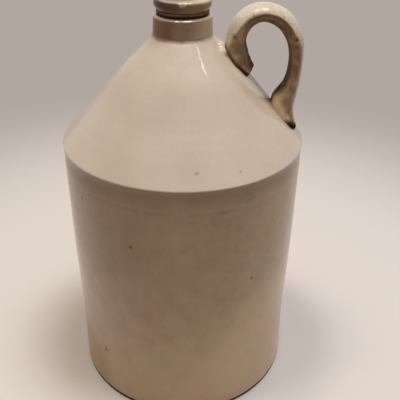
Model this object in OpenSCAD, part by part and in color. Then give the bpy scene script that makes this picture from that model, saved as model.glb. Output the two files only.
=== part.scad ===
// Stoneware jug of one gallon: a straight body, a cone shoulder, a neck ring with an inside
// screw thread, a loop handle on the shoulder, and a screw stopper that seals on a rubber ring.
// Millimetres, +Z up. The origin is the middle of the base, and the handle is towards +X.

/* [Body] */
// Outer diameter of the body
body_d = 176; // [150:1:210]
// Height of the body wall, from the table to the shoulder seam
body_h = 198; // [150:1:260]
// Thickness of the fired wall, in the body and in the shoulder
wall_t = 8; // [6:0.5:11]
// Thickness of the floor, above the hollow of the foot
floor_t = 9; // [7:0.5:14]
// Width of the foot ring that the jug stands on
foot_ring_w = 13; // [8:1:24]
// Depth of the hollow inside the foot ring
foot_hollow = 1.5; // [0.5:0.25:3]
// Rounding of the outer bottom edge
foot_round = 2.5; // [1:0.5:5]
// Rounding inside, where the wall meets the floor
floor_round = 14; // [6:1:20]

/* [Shoulder] */
// Height of the upright skirt, from the seam to the shoulder edge
skirt_h = 6.5; // [4:0.5:12]
// Height of the cone, from the shoulder edge to the neck ring
cone_h = 72.5; // [62:0.5:90]
// Rounding of the shoulder edge
shoulder_round = 1.5; // [1:0.5:8]
// Swell of the shoulder just below the neck ring, square to the cone
neck_swell = 1.4; // [0:0.2:3]

/* [Neck ring] */
// Outer diameter of the neck ring, at its top
collar_d = 40; // [38:0.5:46]
// How far the neck ring widens down to its foot, on the radius
collar_flare = 0.7; // [0:0.1:1.5]
// Height of the neck ring above the shoulder
collar_h = 14; // [10:0.5:22]
// Rounding of the neck ring's top edge
collar_round = 1.7; // [0.5:0.1:2]
// Depth that the neck ring's sleeve reaches down inside the shoulder
sleeve_h = 14; // [8:0.5:22]
// Outer diameter of the sleeve
sleeve_d = 36; // [34:0.5:37]

/* [Thread] */
// Largest diameter of the thread groove in the neck ring
thread_d = 30; // [28:0.25:31]
// Rise of the thread in one turn
thread_pitch = 6; // [5:0.25:7]
// Height of the thread ridge
thread_depth = 1.8; // [1.2:0.1:2]
// Turns of thread in the neck ring
neck_turns = 2.4; // [1.5:0.1:3]
// Turns of thread on the stopper
stopper_turns = 2.2; // [1.5:0.1:2.4]
// Play between stopper and neck ring, on the radius
thread_gap = 0.35; // [0.25:0.05:0.5]

/* [Stopper] */
// Diameter of the stopper's head
head_d = 39; // [36:0.5:44]
// Height of the head above the rubber ring
head_h = 7.4; // [6:0.1:12]
// Diameter of the head's underside, where it presses on the ring
head_seat_d = 33.8; // [32:0.2:35]
// Rounding of the head's top edge
head_round = 1.6; // [0.5:0.1:2]
// Length of the shank below the rubber ring
shank_l = 22; // [20:0.5:28]
// Depth of the dish in the head's top
dish_depth = 1; // [0.4:0.1:1.5]
// Diameter of the small hollow in the middle of the dish
dimple_d = 11; // [6:0.5:14]

/* [Rubber ring] */
// Outer diameter of the rubber ring
seal_d = 36.8; // [35:0.2:38]
// Thickness of the rubber ring when it is pressed
seal_t = 3; // [2.4:0.1:5]

/* [Handle] */
// Width of the handle's strap
handle_w = 21; // [16:0.5:24]
// Thickness of the handle's strap
handle_t = 12; // [9:0.5:14]
// Reach of the loop, from the cone square out to the middle of the strap
handle_rise = 42.5; // [36:0.5:50]

/* [Hidden] */
$fn = 96;
body_r = body_d / 2;
collar_r = collar_d / 2;
head_r = head_d / 2;
// Play between the sleeve and its hole, which the potter's slip fills
slip_gap = 0.2;
// Heights of the seam, the shoulder edge, the cone's top and the neck ring's top
edge_z = body_h + skirt_h;
cone_top_z = edge_z + cone_h;
lip_z = cone_top_z + collar_h;
seat_z = lip_z + seal_t;
// The cone's upper edge is the neck ring's lower edge
cone_top_r = collar_r + collar_flare;
cone_run = body_r - cone_top_r;
cone_l = norm([cone_run, cone_h]);
// Unit vectors down the cone and square out of it, in the upright plane of the handle
cone_down = [cone_run, -cone_h] / cone_l;
cone_out = [cone_h, cone_run] / cone_l;
// Points of an arc in one right angle
arc_steps = 8;
// Reach of the swell below the neck ring, as a share of the cone's length, and its points
swell_share = 0.42;
swell_steps = 8;
// Slope of the rebate on which the foot hollow rises
foot_slope_w = 2 * foot_hollow;
// Depth that a thread ridge is rooted in its wall
thread_root = 0.5;
// Axial widths of a thread ridge at its root and at its crest, as shares of the pitch
ridge_root_share = 0.56;
ridge_crest_share = 0.26;
// Turn in which a ridge rises from its wall, in degrees
fade_turn = 70;
// Steps of a thread in one turn
thread_steps = 30;
// Unthreaded land at the mouth, and its widening there
mouth_land = 3.4;
mouth_widen = 0.9;
// Top of the stopper's thread below the lip, and the chamfer at the shank's end
shank_land = 4.5;
shank_chamfer = 2;
shank_r = thread_d / 2 - thread_depth - thread_gap;
// The rubber ring sits on the shank's plain neck
ring_fit = 0.3;
shank_neck_r = shank_r + 0.7 * thread_depth;
// Height of the flare under the head, as a share of the head's height
flare_share = 0.36;
// Radius at which the dish begins, as a share of the head's radius
dish_share = 0.82;
// Roundings of the rubber ring's section, above and below, as shares of its thickness
ring_top_share = 0.58;
ring_low_share = 0.36;
dimple_depth = 1.2 * dish_depth;

// Stations of the handle, from the upper foot over the loop to the tail of the lower foot.
// Each has its place down the cone as a share of the cone's length, its place square to the
// cone as a share of handle_rise, the strap's outer and inner half thickness as shares of
// handle_t, and its width as a share of handle_w.
handle_shares = [
    [0.352, 0.040, 0.40, 0.50, 1.00],
    [0.290, 0.030, 0.50, 0.64, 1.22],
    [0.200, 0.075, 0.60, 0.75, 1.26],
    [0.104, 0.288, 0.60, 0.56, 1.12],
    [0.068, 0.578, 0.56, 0.50, 1.02],
    [0.117, 0.849, 0.51, 0.50, 0.98],
    [0.248, 1.000, 0.49, 0.57, 0.96],
    [0.396, 0.942, 0.45, 0.53, 0.93],
    [0.524, 0.727, 0.39, 0.42, 0.90],
    [0.630, 0.442, 0.46, 0.48, 0.92],
    [0.710, 0.170, 0.56, 0.88, 1.06],
    [0.792, 0.062, 0.40, 0.74, 1.12],
    [0.860, 0.030, 0.24, 0.40, 0.98],
    [0.904, 0.020, 0.12, 0.24, 0.62]
];
// Rings between two stations, and points round a ring
handle_steps = 4;
handle_sides = 24;
// Powers of the strap's section: round outside, flat with round corners inside
section_power_out = 2.1;
section_power_in = 3.4;

// Points of an arc round c with radius r, from angle a to angle b
function arc(c, r, a, b, steps = arc_steps) =
    [for (i = [0 : steps]) let (t = a + (b - a) * i / steps) c + r * [cos(t), sin(t)]];

// Point of a smooth curve through a list, between entries i and i + 1, at t from 0 to 1
function between(list, i, t) =
    let (
        p1 = list[i],
        p2 = list[i + 1],
        p0 = i > 0 ? list[i - 1] : 2 * p1 - p2,
        p3 = i + 2 < len(list) ? list[i + 2] : 2 * p2 - p1
    )
    0.5 * (2 * p1 + (p2 - p0) * t + (2 * p0 - 5 * p1 + 4 * p2 - p3) * pow(t, 2)
        + (3 * p1 - p0 - 3 * p2 + p3) * pow(t, 3));

// Outline of the cone and its rounded edge, from the seam up to the neck ring's seat
function shoulder_outline() =
    let (
        // The rounding touches the upright skirt and the cone
        slope = atan2(cone_out[1], cone_out[0]),
        reach = shoulder_round * tan(slope / 2),
        centre = [body_r - shoulder_round, edge_z - reach]
    )
    concat(
        [[body_r, body_h]],
        arc(centre, shoulder_round, 0, slope),
        [for (i = [swell_steps : -1 : 0])
            // The swell is steepest at the neck ring and dies away down the cone
            let (x = i / swell_steps, swell = neck_swell * 27 / 4 * x * pow(1 - x, 2))
            [cone_top_r, cone_top_z] + x * swell_share * cone_l * cone_down + swell * cone_out]
    );

module jug_body() {
    inner_r = body_r - wall_t;
    top_of_floor = foot_hollow + floor_t;
    ring_in_r = body_r - foot_ring_w;
    color("#b59a7c")
    rotate_extrude()
        polygon(concat(
            [[0, foot_hollow], [ring_in_r - foot_slope_w, foot_hollow], [ring_in_r, 0]],
            arc([body_r - foot_round, foot_round], foot_round, -90, 0),
            [[body_r, body_h], [inner_r, body_h]],
            arc([inner_r - floor_round, top_of_floor + floor_round], floor_round, 0, -90),
            [[0, top_of_floor]]
        ));
}

module shoulder() {
    // The inside runs parallel to the cone, a wall's thickness in
    drop = wall_t / cone_out[1];
    hole_r = sleeve_d / 2 + slip_gap;
    inner_r = body_r - wall_t;
    inner_z = edge_z + cone_h * wall_t / cone_run - drop;
    hole_z = edge_z + cone_h * (body_r - hole_r) / cone_run - drop;
    color("#d2bfa4")
    rotate_extrude()
        polygon(concat(
            shoulder_outline(),
            [[hole_r, cone_top_z], [hole_r, hole_z], [inner_r, inner_z], [inner_r, body_h]]
        ));
}

// A helical ridge on a wall of radius wall_r, reaching to crest_r. It is rooted in the wall.
module ridge(wall_r, crest_r, turns) {
    way = sign(wall_r - crest_r);
    root_r = wall_r + way * thread_root;
    buried_r = wall_r + way * thread_root / 2;
    steps = round(turns * thread_steps);
    root_w = thread_pitch * ridge_root_share / 2;
    crest_w = thread_pitch * ridge_crest_share / 2;
    fade = fade_turn / 360;
    function rise(u) = min(1, u * turns / fade, (1 - u) * turns / fade);
    function section(u) =
        let (
            a = 360 * turns * u,
            z = thread_pitch * turns * u,
            r = buried_r + (crest_r - buried_r) * rise(u),
            profile = [[root_r, -root_w], [r, -crest_w], [r, crest_w], [root_r, root_w]]
        )
        [for (p = profile) [p[0] * cos(a), p[0] * sin(a), z + p[1]]];
    points = [for (i = [0 : steps]) each section(i / steps)];
    last = 4 * steps;
    // An outside ridge winds its faces the other way round
    faces = concat(
        [[0, 1, 2], [0, 2, 3], [last + 2, last + 1, last], [last + 3, last + 2, last]],
        [for (i = [0 : steps - 1], k = [0 : 3])
            let (a = 4 * i + k, b = 4 * i + (k + 1) % 4)
            each [[a, a + 4, b], [b, a + 4, b + 4]]]
    );
    polyhedron(points, way > 0 ? faces : [for (f = faces) [f[2], f[1], f[0]]]);
}

module neck_ring() {
    bore_r = thread_d / 2;
    thread_top = lip_z - mouth_land;
    color("#a98d70") {
        rotate_extrude()
            polygon(concat(
                [[bore_r, cone_top_z - sleeve_h], [sleeve_d / 2, cone_top_z - sleeve_h],
                 [sleeve_d / 2, cone_top_z], [cone_top_r, cone_top_z]],
                arc([collar_r - collar_round, lip_z - collar_round], collar_round, 0, 90),
                [[bore_r + mouth_widen, lip_z], [bore_r, lip_z - mouth_widen]]
            ));
        translate([0, 0, thread_top - thread_pitch * neck_turns])
            ridge(bore_r, bore_r - thread_depth, neck_turns);
    }
}

// A ring of the strap's section: the outer half is a crown, the inner half is flatter
function strap_ring(place, along, out, inn, width) =
    let (square = [-along[1], along[0]])
    [for (i = [0 : handle_sides - 1])
        let (
            a = 360 * i / handle_sides,
            outer = sin(a) >= 0,
            power = 2 / (outer ? section_power_out : section_power_in),
            y = width / 2 * sign(cos(a)) * pow(abs(cos(a)), power),
            n = (outer ? out : inn) * sign(sin(a)) * pow(abs(sin(a)), power),
            p = place + n * square
        )
        [p[0], y, p[1]]];

module strap() {
    count = len(handle_shares) - 1;
    function at(i, t) = between(handle_shares, i, t);
    stations = [
        for (i = [0 : count - 1], k = [0 : handle_steps - 1]) at(i, k / handle_steps),
        handle_shares[count]
    ];
    places = [for (s = stations)
        [cone_top_r, cone_top_z] + s[0] * cone_l * cone_down + s[1] * handle_rise * cone_out];
    rings = len(places);
    points = [for (i = [0 : rings - 1])
        let (
            next = places[min(i + 1, rings - 1)],
            last = places[max(i - 1, 0)],
            along = (next - last) / norm(next - last),
            s = stations[i]
        )
        each strap_ring(places[i], along, s[2] * handle_t, s[3] * handle_t, s[4] * handle_w)];
    sides = handle_sides;
    polyhedron(points, concat(
        [[for (k = [0 : sides - 1]) k]],
        [[for (k = [sides - 1 : -1 : 0]) (rings - 1) * sides + k]],
        [for (i = [0 : rings - 2], k = [0 : sides - 1])
            let (a = i * sides + k, b = i * sides + (k + 1) % sides)
            each [[a, a + sides, b], [b, a + sides, b + sides]]]
    ));
}

module handle() {
    color("#c9b08d")
    difference() {
        strap();
        // Both feet are cut to the outside of the shoulder
        rotate_extrude()
            polygon(concat([[0, body_h]], shoulder_outline(), [[0, cone_top_z]]));
    }
}

module seal_ring() {
    inner_r = shank_neck_r + ring_fit;
    outer_r = seal_d / 2;
    low = ring_low_share * seal_t;
    high = ring_top_share * seal_t;
    color("#70543f")
    rotate_extrude()
        polygon(concat(
            arc([outer_r - low, lip_z + low], low, -90, 0),
            arc([outer_r - high, seat_z - high], high, 0, 90),
            arc([inner_r + low, seat_z - low], low, 90, 180),
            arc([inner_r + low, lip_z + low], low, 180, 270)
        ));
}

module stopper() {
    top_z = seat_z + head_h;
    end_z = lip_z - shank_l;
    flare_z = seat_z + flare_share * head_h;
    dish_r = dish_share * head_r;
    thread_top = lip_z - shank_land;
    // The stopper's ridge runs midway between two turns of the neck ring's
    neck_start = lip_z - mouth_land - thread_pitch * neck_turns;
    own_start = thread_top - thread_pitch * stopper_turns;
    half_turns = floor((own_start - neck_start) / thread_pitch) + 0.5;
    thread_z = neck_start + half_turns * thread_pitch;
    color("#cdb99b") {
        rotate_extrude()
            polygon(concat(
                [[0, end_z], [shank_r - shank_chamfer, end_z], [shank_r, end_z + shank_chamfer],
                 [shank_r, thread_top], [shank_neck_r, lip_z], [shank_neck_r, seat_z],
                 [head_seat_d / 2, seat_z]],
                arc([head_r - head_round, flare_z + head_round], head_round, -45, 0),
                arc([head_r - head_round, top_z - head_round], head_round, 0, 90),
                [[dish_r, top_z], [dimple_d / 2, top_z - dish_depth],
                 [dimple_d / 4, top_z - dish_depth - dimple_depth],
                 [0, top_z - dish_depth - dimple_depth]]
            ));
        translate([0, 0, thread_z])
            ridge(shank_r, shank_r + thread_depth, stopper_turns);
    }
}

jug_body();
shoulder();
neck_ring();
handle();
seal_ring();
stopper();
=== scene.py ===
import bpy
import bmesh
from math import atan2, copysign, cos, degrees, dist, pi, radians, sin, tan
from mathutils import Matrix, Vector


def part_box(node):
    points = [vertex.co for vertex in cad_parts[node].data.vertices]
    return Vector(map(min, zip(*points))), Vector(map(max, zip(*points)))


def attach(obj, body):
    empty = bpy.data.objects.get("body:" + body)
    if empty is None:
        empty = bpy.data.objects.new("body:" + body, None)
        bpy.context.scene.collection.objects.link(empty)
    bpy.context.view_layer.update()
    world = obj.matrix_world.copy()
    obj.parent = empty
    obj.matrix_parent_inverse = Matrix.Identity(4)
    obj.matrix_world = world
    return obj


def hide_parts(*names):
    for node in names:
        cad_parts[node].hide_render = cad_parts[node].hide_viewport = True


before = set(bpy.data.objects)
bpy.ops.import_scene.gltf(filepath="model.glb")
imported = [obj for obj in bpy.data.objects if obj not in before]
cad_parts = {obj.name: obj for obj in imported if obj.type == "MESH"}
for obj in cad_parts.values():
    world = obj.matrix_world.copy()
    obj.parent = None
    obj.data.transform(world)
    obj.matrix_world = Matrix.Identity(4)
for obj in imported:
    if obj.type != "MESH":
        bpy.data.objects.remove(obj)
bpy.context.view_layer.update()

mm = 0.001
poleRadius = 0.4 * mm       # the tiny ring that closes a floor or a top

# Heights and radii that the frame gives
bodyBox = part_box("jug_body")
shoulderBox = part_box("shoulder")
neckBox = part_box("neck_ring")
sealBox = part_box("seal_ring")
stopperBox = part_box("stopper")
bodyRadius, _, bodyTop = bodyBox[1]
neckFootRadius, _, lipHeight = neckBox[1]
headRadius, _, stopperTop = stopperBox[1]
coneTop = shoulderBox[1][2]
seatHeight = sealBox[1][2]


# Camera

cameraView = {
    "position": (18.64 * mm, -381.6 * mm, 378.3 * mm),
    "lookDown": 31.385,     # degrees below the horizon
    "turn": 0.8,            # degrees to the left of +Y
    "roll": 0.824,          # degrees, the photo was held a little askew
    "lens": 50.19,          # mm
    "sensor": 36,           # mm
    "nearest": 10 * mm,
}


def addCamera(look):
    place = Matrix.Translation(look["position"])
    for angle, axis in ((look["turn"], "Z"), (90 - look["lookDown"], "X"), (look["roll"], "Z")):
        place = place @ Matrix.Rotation(radians(angle), 4, axis)
    data = bpy.data.cameras.new("camera")
    data.lens = look["lens"]
    data.sensor_width = look["sensor"]
    data.clip_start = look["nearest"]
    camera = bpy.data.objects.new("camera", data)
    bpy.context.collection.objects.link(camera)
    camera.matrix_world = place
    bpy.context.scene.camera = camera


addCamera(cameraView)
print("camera placed")


# Modelling helpers

def clearSelection():
    if bpy.context.object and bpy.context.object.mode != "OBJECT":
        bpy.ops.object.mode_set(mode="OBJECT")
    bpy.ops.object.select_all(action="DESELECT")


def selectOnly(piece):
    clearSelection()
    piece.select_set(True)
    bpy.context.view_layer.objects.active = piece


def joinPieces(main, other):
    selectOnly(main)
    other.select_set(True)
    bpy.ops.object.join()
    return main


def arc(centre, radius, start, end, steps):
    # Points (r, z) of an arc, angles in degrees from the outward direction
    angles = [radians(start + (end - start) * i / steps) for i in range(steps + 1)]
    return [(centre[0] + radius * cos(a), centre[1] + radius * sin(a)) for a in angles]


def line(start, end, step):
    # Points from start to end, about one step apart, without the start
    count = max(1, round(dist(start, end) / step))
    return [tuple(a + (b - a) * i / count for a, b in zip(start, end)) for i in range(1, count + 1)]


def smoothBetween(stations, position):
    # Values of a smooth curve through the stations
    last = len(stations) - 1
    i = min(int(position), last - 1)
    t = position - i
    b, c = stations[i], stations[i + 1]
    a = stations[i - 1] if i > 0 else [2 * p - q for p, q in zip(b, c)]
    d = stations[i + 2] if i + 2 <= last else [2 * q - p for p, q in zip(b, c)]
    return [0.5 * (2 * q + (r - p) * t + (2 * p - 5 * q + 4 * r - s) * t ** 2
                   + (3 * q - p - 3 * r + s) * t ** 3) for p, q, r, s in zip(a, b, c, d)]


def openNew(name):
    # The shape just added gets its name, and opens with all of it selected
    piece = bpy.context.object
    piece.name = piece.data.name = name
    bpy.ops.object.mode_set(mode="EDIT")
    bpy.ops.mesh.select_all(action="SELECT")
    return piece


def drawOut(move):
    bpy.ops.mesh.extrude_region_move(TRANSFORM_OT_translate={"value": move})


def widen(grow, centre):
    bpy.ops.transform.resize(value=grow, center_override=centre)


def selectOpenEdges():
    bpy.ops.mesh.select_all(action="DESELECT")
    bpy.ops.mesh.select_mode(type="EDGE")
    bpy.ops.mesh.select_non_manifold(use_wire=False, use_multi_face=False, use_non_contiguous=False,
                                     use_verts=False)


def fillEnds():
    # A face in the first ring and one in the last
    selectOpenEdges()
    bpy.ops.mesh.edge_face_add()


def joinEnds():
    # The last ring meets the first
    selectOpenEdges()
    bpy.ops.mesh.bridge_edge_loops()


def finishMesh(piece, smoothAngle):
    bpy.ops.mesh.select_mode(type="VERT")
    bpy.ops.mesh.select_all(action="SELECT")
    bpy.ops.mesh.remove_doubles(threshold=0.01 * mm)
    bpy.ops.mesh.normals_make_consistent(inside=False)
    bpy.ops.object.mode_set(mode="OBJECT")
    selectOnly(piece)
    bpy.ops.object.transform_apply()
    bpy.ops.object.shade_smooth_by_angle(angle=radians(smoothAngle))


def fadeGroup(piece, joints, reach):
    # A weight that is 0 at the heights where pieces meet, and 1 from reach away
    group = piece.vertex_groups.new(name="awayFromJoints")
    for vertex in piece.data.vertices:
        share = min(1.0, min(abs(vertex.co.z - joint) for joint in joints) / reach)
        group.add([vertex.index], share * share * (3 - 2 * share), "REPLACE")
    return group.name


def unevenClay(piece, look, joints=()):
    # Clay only sinks below its drawn surface, so that nothing grows past its size
    texture = bpy.data.textures.new(piece.name + "Uneven", "CLOUDS")
    depth, size = look["uneven"]
    texture.noise_scale = size
    texture.noise_depth = 1
    wobble = piece.modifiers.new("uneven", "DISPLACE")
    wobble.texture = texture
    wobble.strength = depth
    wobble.mid_level = 1.0
    if joints:
        wobble.vertex_group = fadeGroup(piece, joints, look["jointReach"])
    selectOnly(piece)
    bpy.ops.object.modifier_apply(modifier=wobble.name)


def throwPiece(name, look, profile, closeEnds, joints=()):
    # A ring of clay is drawn from one (radius, height) to the next, as on a wheel
    clearSelection()
    radius, height = profile[0]
    bpy.ops.mesh.primitive_circle_add(vertices=look["sides"], radius=radius)
    piece = openNew(name)
    bpy.ops.transform.translate(value=(0, 0, height))
    for nextRadius, nextHeight in profile[1:]:
        grow = nextRadius / radius
        drawOut((0, 0, nextHeight - height))
        widen((grow, grow, 1), (0, 0, nextHeight))
        radius, height = nextRadius, nextHeight
    closeEnds()
    finishMesh(piece, look["smoothAngle"])
    unevenClay(piece, look, joints)
    return piece


def pressClay(piece, centre, radius, push):
    # In millimetres: points near the centre move by push, less and less towards the radius
    for vertex in piece.data.vertices:
        away = (vertex.co - Vector(centre) * mm).length / (radius * mm)
        if away < 1:
            vertex.co += Vector(push) * mm * (1 - away * away) ** 2
    piece.data.update()


def seat(piece, body, node, material):
    piece.data.materials.clear()
    piece.data.materials.append(material)
    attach(piece, body)
    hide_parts(node)


# Material helpers

def paint(red, green, blue):
    # A colour as picked on a screen, made linear
    def channel(value):
        value /= 255
        return value / 12.92 if value <= 0.04045 else ((value + 0.055) / 1.055) ** 2.4
    return (channel(red), channel(green), channel(blue), 1.0)


bench = {}      # the node tree being built, and the object's own coordinates in it


def startNodes(owner):
    owner.use_nodes = True
    owner.node_tree.nodes.clear()
    bench["tree"] = owner.node_tree


def add(kind, sockets=None, **settings):
    made = bench["tree"].nodes.new("ShaderNode" + kind)
    for key, value in settings.items():
        setattr(made, key, value)
    for key, value in (sockets or {}).items():
        if isinstance(value, bpy.types.NodeSocket):
            bench["tree"].links.new(value, made.inputs[key])
        else:
            made.inputs[key].default_value = value
    return made


def startMaterial(name):
    material = bpy.data.materials.new(name)
    startNodes(material)
    bench["place"] = add("TexCoord").outputs["Object"]
    return material


def finishMaterial(colour, rough, bump, specular, coat=0.0, coatRough=0.0):
    shader = add("BsdfPrincipled", {"Base Color": colour, "Roughness": rough, "Normal": bump.outputs[0],
                                    "Specular IOR Level": specular, "Coat Weight": coat,
                                    "Coat Roughness": coatRough})
    add("OutputMaterial", {"Surface": shader.outputs[0]})


def mix(amount, first, second):
    return add("Mix", {0: amount, 6: first, 7: second}, data_type="RGBA").outputs[2]


def between(value, low, high, outLow=0.0, outHigh=1.0):
    spread = add("MapRange", {"Value": value, "From Min": low, "From Max": high,
                              "To Min": outLow, "To Max": outHigh}, interpolation_type="SMOOTHSTEP")
    return spread.outputs["Result"]


def noise(scale, detail=2.0, stretch=(1, 1, 1), shift=(0, 0, 0)):
    moved = add("Mapping", {"Vector": bench["place"], "Scale": stretch, "Location": shift})
    made = add("TexNoise", {"Vector": moved.outputs[0], "Scale": scale, "Detail": detail})
    return made.outputs["Fac"]


def calculate(operation, *values):
    return add("Math", dict(enumerate(values)), operation=operation).outputs[0]


def multiply(first, second):
    return calculate("MULTIPLY", first, second)


def atLeast(first, second):
    return calculate("MAXIMUM", first, second)


def timesPlus(value, factor, base):
    return calculate("MULTIPLY_ADD", value, factor, base)


def band(value, low, high, soft):
    # 1 between low and high, with soft ends
    up = between(value, low - soft, low)
    down = between(value, high, high + soft, 1.0, 0.0)
    return multiply(up, down)


def tint(colour, top, value, *span):
    # The top colour comes in as the value goes through the span
    return mix(between(value, *span), colour, top)


def layOver(colour, top, mask, amount):
    # The top colour lies where the mask is, by an amount
    return mix(multiply(mask, amount), colour, top)


def axisOf(axis):
    return add("SeparateXYZ", {"Vector": bench["place"]}).outputs[axis]


def lengthOf(vector):
    return add("VectorMath", {0: vector}, operation="LENGTH").outputs["Value"]


def spotMask(spots, grow=1.0):
    # One soft dot for each (x, y, z, radius) in millimetres
    mask = None
    for x, y, z, radius in spots:
        away = add("VectorMath", {0: bench["place"], 1: (x * mm, y * mm, z * mm)}, operation="DISTANCE")
        reach = grow * radius * mm
        dot = between(away.outputs["Value"], 0.45 * reach, reach, 1.0, 0.0)
        mask = dot if mask is None else atLeast(mask, dot)
    return mask


def layPatches(colour, patches):
    for places, amount, top in patches:
        colour = layOver(colour, top, spotMask(places), amount)
    return colour


def rareDots(channel, scale, share, size):
    # A dot in a few of the cells that fill the clay, the rarest the largest
    cells = add("TexVoronoi", {"Vector": bench["place"], "Scale": scale})
    chance = add("SeparateColor", {"Color": cells.outputs["Color"]}).outputs[channel]
    return calculate("LESS_THAN", cells.outputs["Distance"], between(chance, share, 1.0, 0.0, size))


# Glazes: each finish starts from the cream one

cream = {
    "dark": paint(192, 173, 148), "light": paint(207, 190, 167), "cloudScale": 14,
    "streak": paint(216, 200, 178), "streakScale": 55, "streakAmount": 0.3,
    "mottle": paint(180, 160, 134), "mottleScale": 420, "mottleAmount": 0.22,
    # Iron specks all over: scale, share and size; and larger spots where the photo shows them
    "specks": (210, 0.97, 0.10), "speck": paint(88, 62, 40), "speckAmount": 0.75,
    "spots": (), "spot": paint(52, 34, 20), "spotAmount": 0.85, "haloSize": 2.2, "haloAmount": 0.25,
    # Orange-peel surface with pinholes: scale, share and size
    "peelScale": 260, "pits": (170, 0.80, 0.12), "bump": 0.2, "bumpDepth": 0.3 * mm,
    "rough": (0.28, 0.40), "specular": 0.35, "coat": 0.8, "coatRough": 0.08,
}


def glazeColour(look):
    # Clouds of two near colours, streaks down the wall and a fine mottle
    clouds = noise(look["cloudScale"], 3.0)
    colour = mix(between(clouds, 0.3, 0.7), look["dark"], look["light"])
    streaks = noise(look["streakScale"], 2.0, (1, 1, 0.12), (0.31, 0.17, 0.0))
    colour = layOver(colour, look["streak"], between(streaks, 0.42, 0.75), look["streakAmount"])
    mottle = noise(look["mottleScale"], 4.0, (1, 1, 1), (0.5, 0.2, 0.1))
    return layOver(colour, look["mottle"], between(mottle, 0.35, 0.75), look["mottleAmount"])


def glazeMaterial(name, look, layers=None, gloss=None):
    # Fired glaze: mottled colour, iron specks and pinholes under a clear glossy coat
    material = startMaterial(name)
    colour = glazeColour(look)
    if layers:
        colour = layers(colour)
    specks = rareDots("Red", *look["specks"])
    colour = layOver(colour, look["speck"], specks, look["speckAmount"])
    if look["spots"]:
        haloes = spotMask(look["spots"], look["haloSize"])
        colour = layOver(colour, look["speck"], haloes, look["haloAmount"])
        spots = spotMask(look["spots"])
        colour = layOver(colour, look["spot"], spots, look["spotAmount"])
    peel = noise(look["peelScale"], 2.0)
    pits = rareDots("Green", *look["pits"])
    bump = add("Bump", {"Height": timesPlus(pits, -1.0, peel), "Strength": look["bump"],
                        "Distance": look["bumpDepth"]})
    specular, coat = look["specular"], look["coat"]
    if gloss:
        specular, coat = gloss()
    finishMaterial(colour, between(peel, 0.2, 0.8, *look["rough"]), bump, specular, coat, look["coatRough"])
    return material


# Lower body

bodyLook = {
    "sides": 224,
    # Millimetres: heights up the thrown wall, and its depth inside the body's radius there
    "wallShape": ((0, 0.3), (10, 0.2), (50, 1.1), (110, 0.2), (170, 0.05), (192, 0.2), (199, 0.5),
                  (205, 0.1)),
    "wallStep": 2 * mm,
    "ringHeight": 0.035 * mm,   # throwing rings
    "ringPitch": 8.5 * mm,
    "hollowRadius": bodyRadius - 8.5 * mm,
    "hollowStep": 12 * mm,
    "floorTop": 10.5 * mm,
    "floorRound": 14 * mm,
    "footWidth": 13 * mm,
    "footSlope": 3 * mm,        # from the foot ring up to the hollow under the floor
    "footHollow": 1.5 * mm,
    "footRound": 1.5 * mm,
    "smoothAngle": 35,
    "uneven": (0.4 * mm, 60 * mm),  # depth and breadth of the hand's unevenness
    "jointReach": 16 * mm,          # it fades out this close to a joint
}


def wallRadius(height):
    look = bodyLook
    heights = [row[0] * mm for row in look["wallShape"]]
    i = max(k for k in range(len(heights) - 1) if heights[k] <= height or k == 0)
    share = min(1.0, (height - heights[i]) / (heights[i + 1] - heights[i]))
    depth = smoothBetween(look["wallShape"], i + share)[1] * mm
    rings = sin(2 * pi * height / look["ringPitch"])
    return bodyRadius - depth + look["ringHeight"] * (rings - 1)


def makeBody(look):
    footRound, floorRound = look["footRound"], look["floorRound"]
    hollow, floorTop = look["hollowRadius"], look["floorTop"]
    footEdge = wallRadius(footRound) - footRound
    ringInside = wallRadius(footRound) - look["footWidth"]
    # Under the floor, round the foot and up the wall
    profile = [(poleRadius, look["footHollow"]), (ringInside - look["footSlope"], look["footHollow"])]
    profile += [(ringInside, 0), (footEdge, 0)]
    profile += arc((footEdge, footRound), footRound, -75, 0, 5)
    profile += [(wallRadius(z), z) for _, z in line((0, footRound), (0, bodyTop), look["wallStep"])]
    # Down the inside and over the floor
    profile += [(hollow, bodyTop)]
    profile += line((hollow, bodyTop), (hollow, floorTop + floorRound), look["hollowStep"])
    profile += arc((hollow - floorRound, floorTop + floorRound), floorRound, -10, -90, 8)
    profile += [(poleRadius, floorTop)]
    return throwPiece("thrownBody", look, profile, fillEnds, (0, bodyTop))


wallLook = {
    **cream,
    # Darker and warmer than the shoulder's cream: partly the glaze's own tan, partly painted shade on the
    # upright wall
    "dark": paint(177, 145, 109), "light": paint(193, 161, 124), "cloudScale": 10,
    "streak": paint(197, 170, 138), "streakScale": 34, "mottle": paint(156, 127, 95), "coat": 0.6,
    # Scale, detail, stretch and shift of clouds, then level, amount and colour of their tints
    "clouds": (((26, 3.0, (1, 1, 0.7), (0.7, 0.1, 0.4)),
                (0.66, 0.6, paint(180, 143, 115)), (0.34, 0.4, paint(168, 147, 108))),
               ((85, 4.0, (1, 1, 0.8), (0.4, 0.9, 0.2)),
                (0.68, 0.33, paint(166, 123, 99)), (0.32, 0.22, paint(196, 168, 133)))),
    # Painted shade under the edge, and painted floor-bounce light towards the foot
    "redShadeUnderEdge": paint(148, 110, 85), "underReach": 14 * mm,
    "bounceLightNearFoot": paint(211, 178, 140), "footReach": 120 * mm,
    # A faint line of painted shade a finger's width under the seam
    "groove": paint(114, 80, 58), "grooveDrop": 11.8 * mm, "grooveWidth": 1.2 * mm, "grooveSoft": 1.9 * mm,
    # Painted shade: browner high on the left front. Patches are their places, amount and colour
    "shadePatches": ((((-58, -66, 165, 62),), 0.45, paint(148, 116, 84)),),
}

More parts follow.
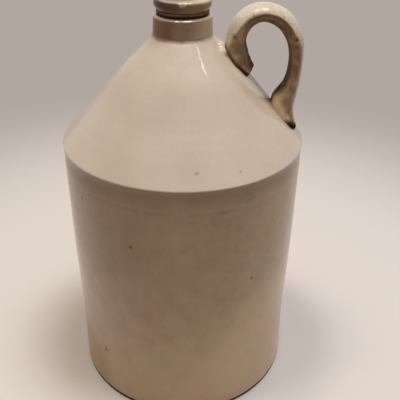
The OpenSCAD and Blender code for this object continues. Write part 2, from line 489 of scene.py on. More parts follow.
bodyGlazeLook = {
    **wallLook,
    "spots": ((-31.2, -81.8, 157.5, 1.4), (52, -70.5, 124.8, 1.1), (-59.7, -64.1, 41.8, 2.1),
              (-60.3, -63.6, 44.0, 1.6), (-66, -57.6, 180.1, 1.3), (20, 84, 96, 1.1), (-70, 50, 140, 0.9)),
    # The tan patch low on the left front is a painted reflection of a tan shadow; the pale patch low on the
    # right front is painted light
    "patches": ((((-78, -40, 18, 42),), 0.9, paint(172, 130, 72)),
                (((70, -53, 50, 80),), 0.4, paint(226, 196, 155))),
    "crackled": paint(140, 124, 84), "crackledPlaces": ((39.6, -78.1, 196, 8), (46.4, -74.3, 193.4, 6)),
    "bareClayAndContactShade": paint(58, 36, 18), "bareTo": 2.2 * mm, "bareSoft": 1.2 * mm,
}


def wallColour(colour):
    # Broad rosy and olive clouds from the kiln, with a patch of painted shade among them
    look = wallLook
    for pattern, *tints in look["clouds"]:
        clouds = noise(*pattern)
        for level, amount, top in tints:
            colour = tint(colour, top, clouds, 0.5, level, 0.0, amount)
    # Painted shade, redder too, just under the shoulder's edge, and painted floor-bounce light that makes
    # the wall paler towards the foot
    height = axisOf("Z")
    wander = noise(36, 3.0, (1, 1, 0.5), (0.2, 0.6, 0.0))
    level = timesPlus(wander, 20 * mm, height)
    colour = tint(colour, look["redShadeUnderEdge"], level, bodyTop, bodyTop + look["underReach"], 0.0, 0.7)
    colour = tint(colour, look["bounceLightNearFoot"], level, 0, look["footReach"], 0.55, 0.0)
    grooveLow = bodyTop - look["grooveDrop"]
    # Painted shade: a broken dark line under the seam
    groove = band(height, grooveLow, grooveLow + look["grooveWidth"], look["grooveSoft"])
    broken = between(noise(60, 3.0), 0.38, 0.62)
    colour = layOver(colour, look["groove"], multiply(groove, broken), 0.36)
    # Painted shade high on the left front of the wall
    return layPatches(colour, look["shadePatches"])


def wallPatches(colour):
    look = bodyGlazeLook
    # The patches hold a painted reflection low on the left and painted light low on the right
    colour = layPatches(wallColour(colour), look["patches"])
    crackled = spotMask(look["crackledPlaces"])
    grain = between(noise(900, 3.0), 0.35, 0.65, 0.1, 0.6)
    colour = layOver(colour, look["crackled"], crackled, grain)
    # The bare foot's colour, darkened with painted contact shade
    return mix(glazedAboveFoot(), look["bareClayAndContactShade"], colour)


def glazedAboveFoot():
    # 0 on the foot's bare clay, 1 above it
    bareTo = bodyGlazeLook["bareTo"]
    return between(axisOf("Z"), bareTo, bareTo + bodyGlazeLook["bareSoft"])


def wallGloss():
    # Bare clay is dull
    glazed = glazedAboveFoot()
    return multiply(glazed, bodyGlazeLook["specular"]), multiply(glazed, bodyGlazeLook["coat"])


seat(makeBody(bodyLook), "jug", "jug_body",
     glazeMaterial("bodyGlaze", bodyGlazeLook, wallPatches, wallGloss))
print("lower body thrown")


# Shoulder

shoulderLook = {
    "sides": 224,
    "skirt": 6.5 * mm,
    "skirtStep": 1.0 * mm,
    "edgeRound": 1.0 * mm,
    "edgeSpace": 0.3 * mm,      # between the skirt's last ring and the edge's rounding
    "slack": 0.1 * mm,          # the edge stays this far inside the body's radius
    "coneSteps": 90,
    "rings": 13,                # faint throwing rings on the cone
    "ringHeight": 0.012 * mm,
    "filletRadius": 4.0 * mm,   # glaze fills the corner at the neck ring's foot
    "filletSpace": 0.5 * mm,
    "neckGap": 0.12 * mm,       # the neck ring's foot stands out this far
    "rimWidth": 0.6 * mm,
    "neckSwell": 1.3 * mm,
    "swellShare": 0.66,         # of the cone's length, from the neck down
    "wall": 8 * mm,
    "hollowStep": 10 * mm,
    "holeRadius": 18.2 * mm,
    # Millimetres: x, y, z of each smear's middle, its radius and its height
    "smears": ((26, -2, 273, 9, 1.0), (26.6, -5.8, 271.2, 4.5, 2.6), (27.4, -9.6, 268.3, 4.5, 2.4),
               (27, 9, 270, 7, 1.4)),
    "smoothAngle": 35, "uneven": (0.6 * mm, 60 * mm), "jointReach": 16 * mm,
}


def coneFrame():
    # The cone's top and edge, and the directions down the cone and square out of it
    top = Vector((neckFootRadius, coneTop))
    edge = Vector((bodyRadius, bodyTop + shoulderLook["skirt"]))
    down = (edge - top).normalized()
    return top, edge, down, Vector((-down.y, down.x))


def makeShoulder(look):
    top, edge, down, out = coneFrame()
    edge = edge - Vector((look["slack"], 0))
    length = (edge - top).length
    # Up the skirt and round the edge
    slope = degrees(atan2(out.y, out.x))
    edgeRound = look["edgeRound"]
    centre = (edge.x - edgeRound, edge.y - edgeRound * tan(radians(slope / 2)))
    heights = line((0, bodyTop), (0, centre[1] - look["edgeSpace"]), look["skirtStep"])
    profile = [(wallRadius(z), z) for _, z in [(0, bodyTop)] + heights]
    profile += arc(centre, edgeRound, 0, slope, 8)
    # Up the cone, with a swelling under the neck, and through the fillet
    low = Vector(profile[-1])
    slopeDown = atan2(down.x, -down.y)     # between the cone and the neck's wall
    fillet = look["filletRadius"]
    run = fillet * tan(slopeDown / 2)
    for i in range(1, look["coneSteps"]):
        share = i / look["coneSteps"]
        if (1 - share) * length < run + look["filletSpace"]:
            break
        x = (1 - share) / look["swellShare"]
        swell = look["neckSwell"] * sin(pi * x) ** 2 if x < 1 else 0
        ring = look["ringHeight"] * sin(2 * pi * share * look["rings"])
        profile.append(tuple(low.lerp(top, share) + out * (swell + ring)))
    neckWall = neckFootRadius - look["neckGap"]
    profile += arc((neckWall + fillet, coneTop + run), fillet, 180 + degrees(slopeDown), 180, 6)
    profile += [(neckWall - look["rimWidth"], coneTop + run)]
    # Down the hole and out along the inside
    hole, hollow = look["holeRadius"], bodyLook["hollowRadius"]
    drop = look["wall"] / out.y
    coneSlope = (edge.y - top.y) / (edge.x - top.x)
    holeLow = (hole, top.y + coneSlope * (hole - top.x) - drop)
    hollowTop = (hollow, top.y + coneSlope * (hollow - top.x) - drop)
    profile += [(hole, coneTop), holeLow]
    profile += line(holeLow, hollowTop, look["hollowStep"])
    profile += [(hollow, bodyTop)]
    piece = throwPiece("thrownShoulder", look, profile, joinEnds, (bodyTop, coneTop))
    # Clay smeared up against the neck ring beside the handle's upper foot
    for x, y, z, radius, height in look["smears"]:
        side = Vector((x, y, 0)).normalized() * out.x
        pressClay(piece, (x, y, z), radius, Vector((side.x, side.y, out.y)) * height)
    return piece


shoulderGlazeLook = {
    **cream,
    "dark": paint(203, 186, 166), "light": paint(214, 199, 181), "mottleAmount": 0.1,
    "spots": ((12.2, -79.2, 212.9, 0.9), (39.7, -71.7, 211.0, 0.7), (-30, 60, 240, 0.8)), "spotAmount": 0.4,
    # Where the wall's colour ends, below the edge
    "edgeBand": (1.0 * mm, 0.45 * mm),
    # The neck's brown, with painted shade in the corner at its foot, starts at these heights over the cone's
    # top, and leans along x
    "neckBrownAndShade": paint(150, 116, 88), "neckBand": (0.4 * mm, 3.2 * mm), "neckLean": -0.05,
    "footStain": paint(176, 140, 98), "footPlaces": ((61, -6, 232, 9), (58, 6, 235, 8)),
}


def skirtStainsAndShade(colour):
    # Below its edge the shoulder has the wall's colour, and at its top the neck's brown with painted shade
    # in the corner
    look = shoulderGlazeLook
    height = axisOf("Z")
    wall = wallColour(glazeColour(wallLook))
    edge = bodyTop + shoulderLook["skirt"]
    colour = tint(wall, colour, height, edge - look["edgeBand"][0], edge - look["edgeBand"][1])
    wander = noise(160, 3.0)
    level = timesPlus(wander, 3 * mm, height)
    level = timesPlus(axisOf("X"), look["neckLean"], level)
    low, high = look["neckBand"]
    # Painted shade in the corner where the cone meets the neck
    colour = tint(colour, look["neckBrownAndShade"], level, coneTop + low, coneTop + high)
    stain = spotMask(look["footPlaces"])
    return layOver(colour, look["footStain"], stain, between(wander, 0.3, 0.7, 0.2, 0.75))


seat(makeShoulder(shoulderLook), "jug", "shoulder",
     glazeMaterial("shoulderGlaze", shoulderGlazeLook, skirtStainsAndShade))
print("shoulder thrown")


# Neck ring with its inside thread

threadLook = {
    "pitch": 6 * mm,
    "ridgeHeight": 1.8 * mm,
    "sunk": 0.5 * mm,           # how deep the ridge's root lies in its wall
    "rootShare": 0.28,          # half the ridge's width at its root and at its crest, of the pitch
    "crestShare": 0.13,
    "endShare": 0.35,           # the ridge starts and ends at this share of its size
    "fadeSteps": 12,
    "stepsPerTurn": 64,
    "smoothAngle": 50,
}

neckLook = {
    "sides": 128,
    "topRadius": 20 * mm,
    "sleeveRadius": 18 * mm,
    "bore": 15 * mm,
    "footInsets": (0.3 * mm, 0.1 * mm),     # at the foot, and at footRise above it
    "footRise": 0.5 * mm,
    "outsideStep": 1.5 * mm,
    "rimSlope": (1.5 * mm, 1.2 * mm),       # width and drop of the rim's sloping face
    "rimRound": 0.5 * mm,
    "rimShares": (0.45, 0.6),               # how far both roundings stand off the slope, of rimRound
    "mouthRound": 0.9 * mm,
    "mouthWiden": 0.5 * mm,
    "boreStep": 3 * mm,
    "boreStraight": 1 * mm,
    "turns": 2.4,
    "land": 3.4 * mm,
    "smoothAngle": 40, "uneven": (0.14 * mm, 20 * mm), "jointReach": 3 * mm,
}


def makeThread(name, wall, side, turns, startHeight):
    # A ridge section is pulled round the wall, one short step at a time; side is -1 in a bore
    look = threadLook
    stepsPerTurn, fadeSteps = look["stepsPerTurn"], look["fadeSteps"]
    rise = look["pitch"] / stepsPerTurn
    steps = round(turns * stepsPerTurn)
    root, crest = wall - side * look["sunk"], wall + side * look["ridgeHeight"]
    clearSelection()
    bpy.ops.mesh.primitive_plane_add(size=1)
    piece = openNew(name)
    bm = bmesh.from_edit_mesh(piece.data)
    bm.verts.ensure_lookup_table()
    rootHalf, crestHalf = look["rootShare"] * look["pitch"], look["crestShare"] * look["pitch"]
    corners = ((root, -rootHalf), (crest, -crestHalf), (crest, crestHalf), (root, rootHalf))
    for vertex, (r, z) in zip((bm.verts[0], bm.verts[1], bm.verts[3], bm.verts[2]), corners):
        vertex.co = (r, 0, startHeight + z)
    bmesh.update_edit_mesh(piece.data)
    stepAngle = radians(360 / stepsPerTurn)
    endShare = look["endShare"]
    shrink = endShare ** (1 / fadeSteps)
    widen((endShare, 1, endShare), (root, 0, startHeight))
    for step in range(steps):
        drawOut((0, 0, rise))
        bpy.ops.transform.rotate(value=-stepAngle, orient_axis="Z", center_override=(0, 0, 0))
        angle = stepAngle * (step + 1)
        rootPoint = (root * cos(angle), root * sin(angle), startHeight + rise * (step + 1))
        if step < fadeSteps:
            widen((1 / shrink,) * 3, rootPoint)
        elif step >= steps - fadeSteps:
            widen((shrink,) * 3, rootPoint)
    finishMesh(piece, look["smoothAngle"])
    return piece


def makeNeckRing(look):
    bottom, bore, sleeve = neckBox[0][2], look["bore"], look["sleeveRadius"]
    profile = [(bore, bottom), (sleeve, bottom), (sleeve, coneTop)]
    profile += [(neckFootRadius - look["footInsets"][0], coneTop)]
    profile += [(neckFootRadius - look["footInsets"][1], coneTop + look["footRise"])]
    # The rim: a sloping face between two small roundings
    small = look["rimRound"]
    lowShare, highShare = look["rimShares"]
    rimWidth, rimDrop = look["rimSlope"]
    slope = degrees(atan2(rimWidth, rimDrop))
    low = (look["topRadius"] - small, lipHeight - rimDrop - lowShare * small)
    high = (look["topRadius"] - rimWidth - highShare * small, lipHeight - small)
    profile += line(profile[-1], (look["topRadius"], low[1]), look["outsideStep"])
    profile += arc(low, small, 8, slope - 4, 5)
    profile += arc(high, small, slope + 4, 90, 4)
    # The mouth and the bore
    mouth = look["mouthRound"]
    profile += arc((bore + look["mouthWiden"] + mouth, lipHeight - mouth), mouth, 90, 180, 5)
    profile += line(profile[-1], (bore, bottom + look["boreStraight"]), look["boreStep"])
    piece = throwPiece("neckRing", look, profile, joinEnds, (coneTop,))
    return joinPieces(piece, makeThread("neckThread", bore, -1, look["turns"], neckThreadStart()))


def neckThreadStart():
    return lipHeight - neckLook["land"] - threadLook["pitch"] * neckLook["turns"]


neckGlazeLook = {
    **cream,
    # A brown darker than the shoulder's cream: partly the glaze's own colour, partly painted shade on the
    # upright neck
    "dark": paint(150, 112, 82), "light": paint(172, 138, 108), "cloudScale": 40,
    "specular": 0.25, "coat": 0.4, "rimSpecular": 0.5, "rimCoat": 1.0, "glossBand": (2.2 * mm, 1.4 * mm),
    # Painted shade on the left side and painted light on the right
    "shadedLeftSide": paint(128, 86, 56), "shadeBand": (-6 * mm, 7 * mm),
    "litRightSide": paint(196, 172, 142), "litBand": (5 * mm, 22 * mm),
    "rim": paint(186, 160, 132), "rimBand": (1.6 * mm, 0.5 * mm),
}


def belowLip(height, depths):
    # 0 below the first depth under the lip, 1 above the second
    return between(height, lipHeight - depths[0], lipHeight - depths[1])


def neckSides(colour):
    # Painted shade darkens the left side to red brown and painted light makes the right side pale, and cream
    # glaze gathers on the rim
    look = neckGlazeLook
    wander = noise(130, 2.0)
    side = timesPlus(wander, 9 * mm, axisOf("X"))
    colour = tint(colour, look["shadedLeftSide"], side, *look["shadeBand"], 0.8, 0.0)
    colour = tint(colour, look["litRightSide"], side, *look["litBand"], 0.0, 0.9)
    level = timesPlus(wander, 1.4 * mm, axisOf("Z"))
    return mix(belowLip(level, look["rimBand"]), colour, look["rim"])


def rimGloss():
    # The glaze lies thick on the rim and thin on the side
    look = neckGlazeLook
    rim = belowLip(axisOf("Z"), look["glossBand"])
    specular = between(rim, 0, 1, look["specular"], look["rimSpecular"])
    return specular, between(rim, 0, 1, look["coat"], look["rimCoat"])


seat(makeNeckRing(neckLook), "jug", "neck_ring",
     glazeMaterial("neckGlaze", neckGlazeLook, neckSides, rimGloss))
print("neck ring made")


# Handle

handleLook = {
    "width": 21 * mm,
    "thickness": 12 * mm,
    "rise": 42.5 * mm,
    "sides": 64,
    "step": 1.1 * mm,
    "fineSteps": 40,            # places tried between two stations, to space the steps evenly
    "capInset": 1.2 * mm,
    "edgeLevel": 0.16,          # height of the strap's side edges, as a share of the outer half
    "crownPowers": (2.1, 1.3),  # a low arc that ends in a soft edge
    "sidePower": 3.6,           # flat sides and a flat inside
    "pullRidges": 0.008,        # faint ridges that the potter's hand left
    "ridgeCount": 14,
    "tucks": (0.52, 0.30),      # how far the upper and the lower foot draw in under themselves
    "tuckReaches": (26 * mm, 12 * mm),
    "tuckPower": 1.3,
    # Millimetres: x, y, z of thumb marks on the feet, their radius, and their push along x, y and z
    "thumbMarks": ((41, -11, 260, 7, 0, 1.3, 0), (41, 11, 260, 7, 0, -1.3, 0),
                   (37, -12.5, 268, 5, 0, 1.0, 0),
                   (79, -10, 224, 9, 0, 1.2, 0), (79, 10, 224, 9, 0, -1.2, 0)),
    # Stations from the upper foot over the loop to the lower foot's tail: share of the cone's
    # length, share of the rise, outer and inner half thickness, and width, as shares
    "stationShares": (
        (0.352, 0.040, 0.40, 0.50, 1.00), (0.290, 0.030, 0.50, 0.64, 1.22), (0.200, 0.075, 0.60, 0.75, 1.26),
        (0.104, 0.288, 0.60, 0.56, 1.12), (0.068, 0.578, 0.56, 0.50, 1.02), (0.117, 0.849, 0.51, 0.50, 0.98),
        (0.248, 1.000, 0.49, 0.57, 0.96), (0.396, 0.942, 0.45, 0.53, 0.93), (0.524, 0.727, 0.39, 0.42, 0.90),
        (0.630, 0.442, 0.46, 0.48, 0.92), (0.710, 0.170, 0.56, 0.88, 1.06), (0.792, 0.062, 0.40, 0.74, 1.12),
        (0.860, 0.030, 0.24, 0.40, 0.98), (0.904, 0.020, 0.12, 0.24, 0.62),
    ),
    "smoothAngle": 180, "uneven": (0.4 * mm, 16 * mm),
}


def handleStations(look):
    # Evenly spaced: length so far, centre (x, z), outer and inner half thickness, width
    top, edge, down, out = coneFrame()
    length = (edge - top).length
    shares, fineSteps = look["stationShares"], look["fineSteps"]
    fine = []
    for i in range((len(shares) - 1) * fineSteps + 1):
        along, rise, outer, inner, width = smoothBetween(shares, i / fineSteps)
        spot = top + down * along * length + out * rise * look["rise"]
        fine.append((spot, outer * look["thickness"], inner * look["thickness"], width * look["width"]))
    even = [fine[0]]
    for entry in fine[1:-1]:
        if (entry[0] - even[-1][0]).length >= look["step"]:
            even.append(entry)
    even.append(fine[-1])
    stations, reach = [], 0.0
    for before, entry in zip(even[:1] + even, even):
        reach += (entry[0] - before[0]).length
        stations.append((reach, *entry))
    return stations


def strapSection(piece, look):
    # A circle lying flat becomes the strap's section: a low crown outside, flat sides and inside
    edge = look["edgeLevel"]
    across, up = look["crownPowers"]
    bm = bmesh.from_edit_mesh(piece.data)
    for vertex in bm.verts:
        a = atan2(vertex.co.x, vertex.co.y)
        side = cos(a)
        if sin(a) >= 0:
            arch = max(0.0, 1 - abs(side) ** across) ** (1 / up)
            ridge = look["pullRidges"] * (cos(a * look["ridgeCount"]) - 1) * arch
            vertex.co.x = edge + (1 - edge) * arch + ridge
        else:
            power = 2 / look["sidePower"]
            vertex.co.x = edge - (1 + edge) * abs(sin(a)) ** power
            side = copysign(abs(side) ** power, side)
        vertex.co.y = 0.5 * side
    bmesh.update_edit_mesh(piece.data)


def makeHandle(look):
    # The strap is pulled straight first, and then bent into its loop
    stations = handleStations(look)
    clearSelection()
    bpy.ops.mesh.primitive_circle_add(vertices=look["sides"], radius=1)
    strap = openNew("pulledHandle")
    strapSection(strap, look)
    thick, width, shift, reach = 1.0, 1.0, 0.0, 0.0
    for nextReach, _, outer, inner, nextWidth in stations:
        nextThick, nextShift = (outer + inner) / 2, (outer - inner) / 2
        move = (nextShift - shift, 0, nextReach - reach)
        if nextReach > 0:
            drawOut(move)
        else:
            bpy.ops.transform.translate(value=move)
        widen((nextThick / thick, nextWidth / width, 1), (nextShift, 0, nextReach))
        thick, width, shift, reach = nextThick, nextWidth, nextShift, nextReach
    fillEnds()
    bpy.ops.mesh.select_mode(type="FACE")
    bpy.ops.mesh.inset(thickness=look["capInset"])
    finishMesh(strap, look["smoothAngle"])
    tuckFeet(strap, look, stations)
    markCrown(strap, stations)
    bendStrap(strap, stations)
    bpy.ops.object.shade_smooth()
    unevenClay(strap, look)
    for x, y, z, radius, *push in look["thumbMarks"]:
        pressClay(strap, (x, y, z), radius, push)
    return strap


def nearestStation(stations, reach):
    return min(range(len(stations)), key=lambda k: abs(stations[k][0] - reach))


def tuckFeet(strap, look, stations):
    # Under each foot the strap's sides draw in, which leaves a narrow gap above the cone
    for vertex in strap.data.vertices:
        if vertex.co.x >= 0:
            continue
        fromEnds = (vertex.co.z, stations[-1][0] - vertex.co.z)
        inner = stations[nearestStation(stations, vertex.co.z)][3]
        depth = min(1.0, -vertex.co.x / inner)
        for tuck, reach, fromEnd in zip(look["tucks"], look["tuckReaches"], fromEnds):
            share = min(1.0, 2 * max(0.0, 1 - fromEnd / reach))
            vertex.co.y *= 1 - tuck * share * depth ** look["tuckPower"]


def markCrown(strap, stations):
    # For the glaze: 1 on top of the crown, 0 at its edges, -1 inside, and the share of the length
    crown = strap.data.attributes.new("crown", "FLOAT", "POINT")
    along = strap.data.attributes.new("along", "FLOAT", "POINT")
    for vertex in strap.data.vertices:
        _, _, outer, inner, _ = stations[nearestStation(stations, vertex.co.z)]
        half = outer if vertex.co.x > 0 else inner
        crown.data[vertex.index].value = max(-1.0, min(1.0, vertex.co.x / half))
        along.data[vertex.index].value = vertex.co.z / stations[-1][0]


def bendStrap(strap, stations):
    places = [station[1] for station in stations]
    for vertex in strap.data.vertices:
        i = nearestStation(stations, vertex.co.z)
        along = (places[min(i + 1, len(places) - 1)] - places[max(i - 1, 0)]).normalized()
        out = Vector((-along.y, along.x))
        spot = places[i] + along * (vertex.co.z - stations[i][0]) + out * vertex.co.x
        vertex.co = (spot.x, vertex.co.y, spot.y)
    strap.data.update()
    # The bend turns the strap inside out, so its normals are worked out again
    selectOnly(strap)
    bpy.ops.object.mode_set(mode="EDIT")
    bpy.ops.mesh.select_all(action="SELECT")
    bpy.ops.mesh.normals_make_consistent(inside=False)
    bpy.ops.object.mode_set(mode="OBJECT")


handleGlazeLook = {
    **cream,
    "dark": paint(212, 194, 169), "light": paint(229, 216, 196), "cloudScale": 40,
    "mottle": paint(156, 128, 98), "mottleAmount": 0.3, "rough": (0.36, 0.5), "coatRough": 0.2,
    "spots": ((35.2, -10.3, 278.7, 1.6), (76.5, -9.9, 277.2, 1.4), (64, 10, 262, 1.3)),
    # The burnt sides with their painted shade, and how far along the strap each part of them goes
    "rust": (paint(140, 109, 82), paint(190, 157, 123)),
    "loopShadeRust": paint(96, 68, 44), "insideShadeRust": paint(88, 64, 44),
    "arms": ((0.11, 0.27), (0.50, 0.63)), "loop": (0.29, 0.44), "lowFoot": (0.80, 0.93),
    "lowFootPale": paint(244, 216, 180),
    # A brown run down the lower arm, and a pale patch, partly a painted highlight, on the upper one
    "patches": ((((75, -11.5, 233, 7), (76, -11.5, 227, 5)), 0.5, paint(124, 84, 50)),
                (((38.5, -12, 268, 8),), 0.5, paint(176, 156, 122))),
    "oliveLine": paint(88, 70, 46), "crowd": paint(96, 66, 40),
    # Painted shade in the crevices under the feet and in the lower arm's corner
    "creviceShade": paint(48, 33, 22), "crotch": ((68.3, 0, 240.8, 3.8), (66.4, -1, 238.0, 2.6)),
}


def aboveCone():
    # The height of a point above the cone, square to it
    top, _, _, out = coneFrame()
    flat = add("VectorMath", {0: bench["place"], 1: (1, 1, 0)}, operation="MULTIPLY").outputs[0]
    level = timesPlus(axisOf("Z"), out.y, -out.dot(top))
    return timesPlus(lengthOf(flat), out.x, level)


def strapMarks():
    return [add("Attribute", attribute_name=name).outputs["Fac"] for name in ("crown", "along")]


def burntAndShadedSides(crown, along, patches, onLoop):
    # Rust in two browns, with painted shade under the loop and on the inside, paler on the lower foot
    look = handleGlazeLook
    rust = mix(between(patches, 0.36, 0.64), *look["rust"])
    # Painted shade under the loop and on the inside
    rust = layOver(rust, look["loopShadeRust"], between(crown, -0.6, 0.0, 0.8, 0.0), onLoop)
    rust = tint(rust, look["insideShadeRust"], crown, -1.0, -0.65, 0.65, 0.0)
    lowFoot = multiply(band(along, *look["lowFoot"], 0.05),
                       between(aboveCone(), 3 * mm, 12 * mm, 1.0, 0.15))
    lowFoot = multiply(lowFoot, between(crown, -0.1, 0.3, 1.0, 0.0))
    rust = mix(lowFoot, rust, look["lowFootPale"])
    return layPatches(rust, look["patches"])


def ironEdges(colour):
    # Glaze runs thin off the strap's edges and burns brown on its sides, its inside and its arms, with
    # painted shade on the inside and under the loop
    look = handleGlazeLook
    crown, along = strapMarks()
    edge = timesPlus(noise(75, 4.0), 0.5, crown)
    upperArm, lowerArm = look["arms"]
    arms = atLeast(between(along, *upperArm, 0.55, 0.0), between(along, *lowerArm, 0.0, 0.55))
    level = calculate("SUBTRACT", edge, arms)
    patches = noise(130, 3.0, (1, 1, 1), (0.2, 0.4, 0.1))
    onLoop = between(band(along, *look["loop"], 0.06), 0, 1, 0.15, 0.95)
    rust = burntAndShadedSides(crown, along, patches, onLoop)
    colour = tint(colour, rust, level, 0.2, 0.52, 1.0, 0.0)
    # An olive line on the loop, and a crowd of iron specks, where the cream ends
    olive = multiply(band(level, 0.10, 0.26, 0.14), onLoop)
    colour = layOver(colour, look["oliveLine"], olive, 0.75)
    grain = noise(520, 3.0, (1, 1, 1), (0.6, 0.3, 0.2))
    crowd = multiply(band(level, 0.34, 0.62, 0.16), between(grain, 0.57, 0.64))
    colour = layOver(colour, look["crowd"], crowd, 0.4)
    # Painted shade: a dark line under the feet, and in the corner where the lower arm meets the cone
    ragged = timesPlus(patches, -2.0 * mm, aboveCone())
    underFeet = between(ragged, 1.1 * mm, 3.1 * mm, 0.95, 0.0)
    upperFoot = multiply(between(along, 0.16, 0.24, 1.0, 0.0),
                         between(along, 0.03, 0.12, 1.0, 0.5))
    atFeet = atLeast(upperFoot, between(along, 0.91, 0.95))
    creviceShade = atLeast(multiply(underFeet, atFeet), spotMask(look["crotch"]))
    return mix(creviceShade, colour, look["creviceShade"])


def crownGloss():
    # The glaze is thin and dull away from the crown and at the feet
    crown, _ = strapMarks()
    clear = between(aboveCone(), 3 * mm, 8 * mm)
    specular = multiply(clear, between(crown, -0.5, 0.2, 0.02, 0.25))
    return specular, multiply(clear, between(crown, -0.1, 0.4, 0.0, 0.5))


seat(makeHandle(handleLook), "jug", "handle",
     glazeMaterial("handleGlaze", handleGlazeLook, ironEdges, crownGloss))
print("handle pulled and bent")


# Rubber ring

sealLook = {
    "sides": 128,
    "innerRadius": 14.4 * mm,
    "worn": 0.5 * mm,           # lost from the outside
    "topShare": 0.03,           # the roundings, as shares of the thickness
    "lowShare": 0.36,
    "smoothAngle": 50, "uneven": (0.12 * mm, 10 * mm),
    "rubber": (paint(132, 98, 72), paint(156, 121, 92)),
    # Painted shade low on the ring, in the gap above the lip
    "gapShade": paint(34, 25, 20),
    "gapShadeBand": (0.9 * mm, 2.5 * mm),      # above the lip
    "rough": (0.55, 0.8),
    "specular": 0.15,
}


def makeSealRing(look):
    low, high = sealBox[0][2], sealBox[1][2]
    inner, outer = look["innerRadius"], sealBox[1][0] - look["worn"]
    topRound, lowRound = look["topShare"] * (high - low), look["lowShare"] * (high - low)
    profile = arc((outer - lowRound, low + lowRound), lowRound, -90, 0, 5)
    profile += arc((outer - topRound, high - topRound), topRound, 2, 90, 10)
    profile += arc((inner + lowRound, high - lowRound), lowRound, 90, 180, 4)
    profile += arc((inner + lowRound, low + lowRound), lowRound, 180, 268, 4)
    return throwPiece("rubberRing", look, profile, joinEnds)


def agedRubber(look):
    material = startMaterial("agedRubber")
    bloom = noise(160, 4.0)
    colour = mix(between(bloom, 0.35, 0.7), *look["rubber"])
    # Painted shade: the ring is near black low down, in the gap above the lip
    gapShadeLow, gapShadeHigh = look["gapShadeBand"]
    height = axisOf("Z")
    colour = tint(colour, look["gapShade"], height, lipHeight + gapShadeLow, lipHeight + gapShadeHigh, 0.92, 0.0)
    bump = add("Bump", {"Height": noise(900, 3.0), "Strength": 0.3, "Distance": 0.2 * mm})
    finishMaterial(colour, between(bloom, 0.3, 0.8, *look["rough"]), bump, look["specular"])
    return material


seat(makeSealRing(sealLook), "rising_ring", "seal_ring", agedRubber(sealLook))
print("rubber ring made")


# Stopper

stopperLook = {
    "sides": 128,
    "seatRadius": 17.7 * mm,
    "seatRound": 0.08 * mm,
    "flareShare": 0.36,         # of the head's height, below its upright side
    "flareRound": 1.0 * mm,
    "flareStep": 0.8 * mm,
    "headRound": 1.6 * mm,
    "dishShare": 0.82,          # of the head's radius
    "dishDepth": 1.0 * mm,
    "dishRound": 0.8 * mm,
    "dishStep": 2 * mm,
    "dimpleRadius": 5.5 * mm,
    "dimpleDepth": 1.2 * mm,
    "dimpleShares": ((0.7, 0.9), (0.35, 1.0)),      # of the dimple's radius and depth
    "shankLength": 22 * mm,
    "shankRadius": 12.85 * mm,
    "shankStep": 4 * mm,
    "endRound": 2 * mm,
    "waistRadius": 14.11 * mm,
    "waistRound": 0.3 * mm,
    "land": 4.5 * mm,
    "turns": 2.2,
    "smoothAngle": 40, "uneven": (0.25 * mm, 16 * mm),
}


def makeStopper(look):
    # Up the shank and the waist, and out to the seat
    shank, endRound = look["shankRadius"], look["endRound"]
    waist, waistRound = look["waistRadius"], look["waistRound"]
    end = lipHeight - look["shankLength"]
    threadTop = lipHeight - look["land"]
    profile = [(poleRadius, end), (shank - endRound, end)]
    profile += arc((shank - endRound, end + endRound), endRound, -75, 0, 5)
    profile += line(profile[-1], (shank, threadTop), look["shankStep"])
    profile += [(waist, lipHeight), (waist, seatHeight - waistRound), (waist + waistRound, seatHeight)]
    profile += [(look["seatRadius"] - look["seatRound"], seatHeight)]
    profile += [(look["seatRadius"], seatHeight + look["seatRound"])]
    # Up the flare and the side, and over the head's edge
    flareTop = seatHeight + look["flareShare"] * (stopperTop - seatHeight)
    flare, headRound = look["flareRound"], look["headRound"]
    profile += line(profile[-1], (headRadius - 0.6 * flare, flareTop - 0.3 * flare), look["flareStep"])
    profile += arc((headRadius - flare, flareTop + 0.6 * flare), flare, -40, 0, 4)
    profile += arc((headRadius - headRound, stopperTop - headRound), headRound, 10, 90, 8)
    # Down into the dish and its dimple
    dish, dishRound = look["dishShare"] * headRadius, look["dishRound"]
    dishFloor = stopperTop - look["dishDepth"]
    dimple, dimpleDepth = look["dimpleRadius"], look["dimpleDepth"]
    profile += arc((dish + 0.75 * dishRound, stopperTop - dishRound), dishRound, 90, 150, 4)
    profile += line(profile[-1], (dimple + 1.5 * dishRound, dishFloor), look["dishStep"])
    profile += arc((dimple + 1.25 * dishRound, dishFloor - dishRound), dishRound, 80, 160, 4)
    profile += [(across * dimple, dishFloor - deep * dimpleDepth) for across, deep in look["dimpleShares"]]
    profile += [(poleRadius, dishFloor - dimpleDepth)]
    piece = throwPiece("screwStopper", look, profile, fillEnds)
    # The stopper's ridge runs halfway between two turns of the neck's
    pitch = threadLook["pitch"]
    turnsUp = (threadTop - pitch * look["turns"] - neckThreadStart()) // pitch
    start = neckThreadStart() + (turnsUp + 0.5) * pitch
    return joinPieces(piece, makeThread("stopperThread", shank, 1, look["turns"], start))


stopperGlazeLook = {
    **cream,
    "dark": paint(190, 170, 142), "light": paint(210, 193, 168), "cloudScale": 60,
    "mottle": paint(150, 122, 92), "mottleAmount": 0.35, "specular": 0.25, "coat": 0.5,
    "sideBand": (-0.7 * mm, 1.2 * mm), "sideLean": 0.05,
    # Painted shade on the left of the side, painted light on the right
    "rust": (paint(80, 51, 30), paint(138, 106, 76)), "rustShadeToLight": (-8 * mm, 12 * mm),
    # The pale drip at the front is partly a painted highlight
    "paleDripAndHighlight": paint(228, 216, 200), "dripPlaces": ((0.8, -19.4, 301.2, 3.6), (12, 15, 300.6, 4)),
}


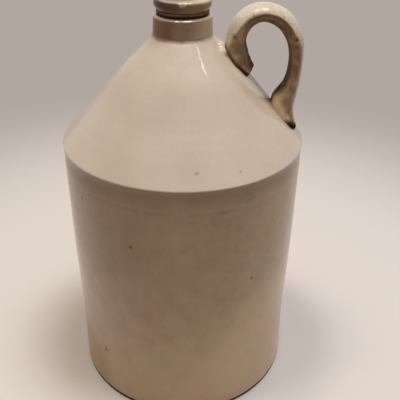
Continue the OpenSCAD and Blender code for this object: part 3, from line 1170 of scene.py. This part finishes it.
def brownSide(colour):
    # The side is brown under a cream top that runs down in places, partly burnt glaze and partly painted
    # shade; painted shade makes it darker on the left and painted light paler on the right, and the pale
    # drip at the front is partly a painted highlight
    look = stopperGlazeLook
    wander = noise(110, 2.0, (1, 1, 0.3))
    across = axisOf("X")
    level = timesPlus(wander, 1.6 * mm, axisOf("Z"))
    level = timesPlus(across, look["sideLean"], level)
    sideLow, sideHigh = look["sideBand"]
    side = between(level, stopperTop + sideLow, stopperTop + sideHigh, 1.0, 0.0)
    paleDripAndHighlight = spotMask(look["dripPlaces"])
    colour = layOver(colour, look["paleDripAndHighlight"], paleDripAndHighlight, 0.6)
    paleDripAndHighlight = multiply(paleDripAndHighlight, between(noise(380, 3.0), 0.3, 0.7, 0.3, 0.9))
    shown = multiply(side, calculate("SUBTRACT", 1.0, paleDripAndHighlight))
    across = timesPlus(wander, 8 * mm, across)
    rust = mix(between(across, *look["rustShadeToLight"]), *look["rust"])
    return mix(shown, colour, rust)


seat(makeStopper(stopperLook), "screw_stopper", "stopper",
     glazeMaterial("stopperGlaze", stopperGlazeLook, brownSide))
print("stopper made")


# Floor and light

stageLook = {
    "floorSize": 12.0,
    "floorNear": paint(235, 227, 222),
    "floorFar": paint(178, 167, 160),
    "nearReach": (0.27, 0.66),      # the floor fades from near to far between these distances
    "skyColour": paint(208, 200, 194),
    "skyStrength": 1.0,             # as seen by the camera and in reflections
    "fillColour": paint(200, 200, 205),
    "fillStrength": 0.06,           # as light on the object
    "lampAim": (0, 0, coneTop - 70 * mm),
}

# Place, width and length, power, colour, and whether reflections show it; all face the shoulder
lamps = {
    "warmBox": ((-0.45, -0.04, 1.96), (0.6, 0.7), 8.8, paint(255, 241, 222), False),
    "coolBox": ((0.45, -0.04, 1.96), (0.6, 0.7), 10.4, paint(242, 248, 255), False),
    "skylightLeft": ((-0.335, -0.03, 2.0), (0.44, 0.26), 6.8, paint(255, 246, 234), True),
    "skylightRight": ((0.275, -0.03, 2.0), (0.46, 0.5), 12.0, paint(255, 252, 248), True),
    "tallWindow": ((0.765, -0.165, 1.62), (0.045, 0.165), 0.26, paint(255, 246, 236), True),
}


def seenRays():
    # 1 for what the camera sees, itself or in a reflection or through glass
    seen = add("LightPath").outputs
    mirrored = atLeast(seen["Is Glossy Ray"], seen["Is Transmission Ray"])
    return atLeast(seen["Is Camera Ray"], mirrored)


def makeStage(look):
    clearSelection()
    bpy.ops.mesh.primitive_plane_add(size=look["floorSize"])
    floor = bpy.context.object
    floor.name = "floor"
    material = startMaterial("floorPaper")
    # Far off, where no lamp reaches, the camera and reflections see the paper's own pale colour
    fade = multiply(between(lengthOf(bench["place"]), *look["nearReach"]), seenRays())
    paper = add("BsdfPrincipled", {"Base Color": look["floorNear"], "Roughness": 0.9})
    pale = add("Emission", {"Color": look["floorFar"], "Strength": 1.0})
    both = add("MixShader", {0: fade, 1: paper.outputs[0], 2: pale.outputs[0]})
    add("OutputMaterial", {"Surface": both.outputs[0]})
    floor.data.materials.append(material)


def makeWorld(look):
    # The camera, reflections and glass see a pale sky, which itself lights the object only a little
    world = bpy.context.scene.world or bpy.data.worlds.new("world")
    bpy.context.scene.world = world
    startNodes(world)
    fill = add("Background", {"Color": look["fillColour"], "Strength": look["fillStrength"]})
    sky = add("Background", {"Color": look["skyColour"], "Strength": look["skyStrength"]})
    both = add("MixShader", {0: seenRays(), 1: fill.outputs[0], 2: sky.outputs[0]})
    add("OutputWorld", {"Surface": both.outputs[0]})


def addLight(name, place, size, power, colour, mirrored):
    data = bpy.data.lights.new(name, "AREA")
    data.shape = "RECTANGLE"
    data.size, data.size_y = size
    data.energy = power
    data.color = colour[:3]
    lamp = bpy.data.objects.new(name, data)
    bpy.context.collection.objects.link(lamp)
    lamp.visible_glossy = mirrored
    away = Vector(place) - Vector(stageLook["lampAim"])
    lamp.matrix_world = Matrix.Translation(place) @ away.to_track_quat("Z", "Y").to_matrix().to_4x4()


makeStage(stageLook)
makeWorld(stageLook)
for lampName, settings in lamps.items():
    addLight(lampName, *settings)
print("stage and lights set")

bpy.context.scene.view_settings.view_transform = "Standard"
